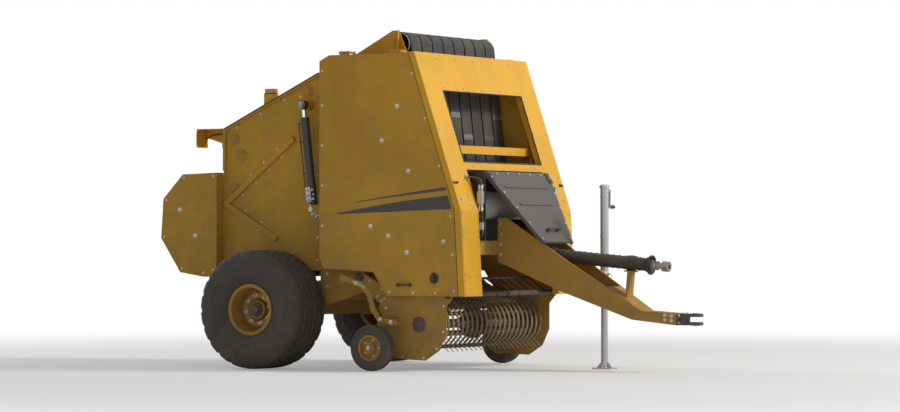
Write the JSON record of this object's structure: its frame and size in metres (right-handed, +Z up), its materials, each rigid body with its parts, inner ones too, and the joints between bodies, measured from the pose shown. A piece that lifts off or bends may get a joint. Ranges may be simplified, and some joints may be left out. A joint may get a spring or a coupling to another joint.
{
  "type": "round baler",
  "caption": "Towed round baler: pickup, belt chamber with a hinged tailgate, side doors, tongue, driveline and parking jack.",
  "frame": {"origin": "on the ground, at the middle of the machine's length and width", "axes": "+X is the direction of travel, +Y the left side, +Z up"},
  "size_m": [4.966, 2.704, 2.95],
  "materials": {
    "yellow_paint": "semi-gloss paint, dusty",
    "dark_paint": "satin dark grey paint",
    "belt_rubber": "ribbed rubber, dusty",
    "tyre": "dusty tyre rubber",
    "bare_steel": "worn steel",
    "zinc": "zinc plated",
    "chrome_rod": "polished",
    "black_plastic": "matte black",
    "white_net": "wound net",
    "lens": "moulded red lens",
    "warning": "reflective sheet"
  },
  "bodies": {
    "chassis": {"frame_side_left": "yellow_paint", "frame_side_right": "yellow_paint", "cross_members": "yellow_paint", "axle": "yellow_paint", "chamber_wall_left": "yellow_paint", "chamber_wall_right": "yellow_paint", "wall_ties": "yellow_paint", "front_frame": "yellow_paint", "side_roofs": "yellow_paint", "belts_front": "belt_rubber", "rollers_front": "bare_steel", "net_box": "dark_paint", "net_roll": "white_net", "tongue": "yellow_paint", "hitch": "dark_paint", "gearbox": "dark_paint", "driveline_guard": "black_plastic", "drive_left": "bare_steel", "drive_right": "bare_steel", "jack_tube": "zinc"},
    "cover": {"front_cover": "dark_paint"},
    "driveline": {"driveline": "bare_steel"},
    "jack_foot": {"jack_leg": "zinc"},
    "wheel_left": {"tyre_left": "tyre", "rim_left": "yellow_paint"},
    "wheel_right": {"tyre_right": "tyre", "rim_right": "yellow_paint"},
    "tailgate": {"gate_wall_left": "yellow_paint", "gate_wall_right": "yellow_paint", "gate_beams": "yellow_paint", "rear_cover_left": "yellow_paint", "rear_cover_right": "yellow_paint", "belts_rear": "belt_rubber", "rollers_rear": "bare_steel", "sign_rail": "yellow_paint", "lamp_bracket_left": "yellow_paint", "lamp_bracket_right": "yellow_paint", "lamp_lenses": "lens", "warning_plate": "warning"},
    "cylinder_left": {"barrel_left": "dark_paint"},
    "cylinder_right": {"barrel_right": "dark_paint"},
    "piston_left": {"rod_left": "chrome_rod"},
    "piston_right": {"rod_right": "chrome_rod"},
    "side_door_left": {"shield_left": "yellow_paint"},
    "side_door_right": {"shield_right": "yellow_paint"},
    "pickup": {"pickup_side_left": "yellow_paint", "pickup_side_right": "yellow_paint", "pickup_deck": "yellow_paint", "stripper_bands": "yellow_paint"},
    "reel": {"pickup_reel": "bare_steel"},
    "crop_guard": {"windguard_bar": "dark_paint", "windguard_rods": "dark_paint"},
    "gauge_left": {"gauge_wheel_left": "tyre"},
    "gauge_right": {"gauge_wheel_right": "tyre"}
  },
  "joints": [
    {"name": "wheel_left_spin", "type": "hinge", "parent": "chassis", "child": "wheel_left", "pos_m": [-1.269, 1.092, 0.52], "axis": [0, 1, 0], "continuous": true},
    {"name": "wheel_right_spin", "type": "hinge", "parent": "chassis", "child": "wheel_right", "pos_m": [-1.269, -1.092, 0.52], "axis": [0, 1, 0], "continuous": true},
    {"name": "tailgate_lift", "type": "hinge", "parent": "chassis", "child": "tailgate", "pos_m": [-0.649, 0, 2.6], "axis": [0, 1, 0], "range_deg": [0, 55]},
    {"name": "cover_open", "type": "hinge", "parent": "chassis", "child": "cover", "pos_m": [0.661, 0, 1.7], "axis": [0, -1, 0], "range_deg": [0, 75]},
    {"name": "driveline_spin", "type": "hinge", "parent": "chassis", "child": "driveline", "pos_m": [0.881, 0, 1.01], "axis": [0.9962, 0, -0.0872], "continuous": true},
    {"name": "jack_slide", "type": "slide", "parent": "chassis", "child": "jack_foot", "axis": [0, 0, 1], "range_m": [0, 0.35]},
    {"name": "pickup_lift", "type": "hinge", "parent": "chassis", "child": "pickup", "pos_m": [-0.369, 0, 0.8], "axis": [0, -1, 0], "range_deg": [0, 12]},
    {"name": "reel_spin", "type": "hinge", "parent": "pickup", "child": "reel", "pos_m": [0.231, 0, 0.4], "axis": [0, 1, 0], "continuous": true},
    {"name": "crop_guard_lift", "type": "hinge", "parent": "pickup", "child": "crop_guard", "pos_m": [0.521, 0, 0.66], "axis": [0, 1, 0], "range_deg": [0, 15]},
    {"name": "gauge_left_spin", "type": "hinge", "parent": "pickup", "child": "gauge_left", "pos_m": [-0.109, 1.15, 0.2], "axis": [0, 1, 0], "continuous": true},
    {"name": "gauge_right_spin", "type": "hinge", "parent": "pickup", "child": "gauge_right", "pos_m": [-0.109, -1.15, 0.2], "axis": [0, 1, 0], "continuous": true},
    {"name": "door_left_lift", "type": "hinge", "parent": "chassis", "child": "side_door_left", "pos_m": [-0.229, 0.986, 2.758], "axis": [1, 0, 0], "range_deg": [0, 80]},
    {"name": "door_right_lift", "type": "hinge", "parent": "chassis", "child": "side_door_right", "pos_m": [-0.229, -0.986, 2.758], "axis": [-1, 0, 0], "range_deg": [0, 80]},
    {"name": "cylinder_left_tilt", "type": "hinge", "parent": "chassis", "child": "cylinder_left", "pos_m": [-0.859, 0.9, 1.395], "axis": [0, 1, 0], "range_deg": [-4, 1]},
    {"name": "piston_left_slide", "type": "slide", "parent": "cylinder_left", "child": "piston_left", "axis": [-0.1186, 0, 0.9929], "range_m": [0, 0.4]},
    {"name": "cylinder_right_tilt", "type": "hinge", "parent": "chassis", "child": "cylinder_right", "pos_m": [-0.859, -0.9, 1.395], "axis": [0, 1, 0], "range_deg": [-4, 1]},
    {"name": "piston_right_slide", "type": "slide", "parent": "cylinder_right", "child": "piston_right", "axis": [-0.1186, 0, 0.9929], "range_m": [0, 0.4]}
  ],
  "couplings": [
    {"joint": "cylinder_left_tilt", "follows": "tailgate_lift", "ratio": -0.0395},
    {"joint": "piston_left_slide", "follows": "tailgate_lift", "m_per_rad": 0.409},
    {"joint": "cylinder_right_tilt", "follows": "tailgate_lift", "ratio": -0.0395},
    {"joint": "piston_right_slide", "follows": "tailgate_lift", "m_per_rad": 0.409}
  ]
}
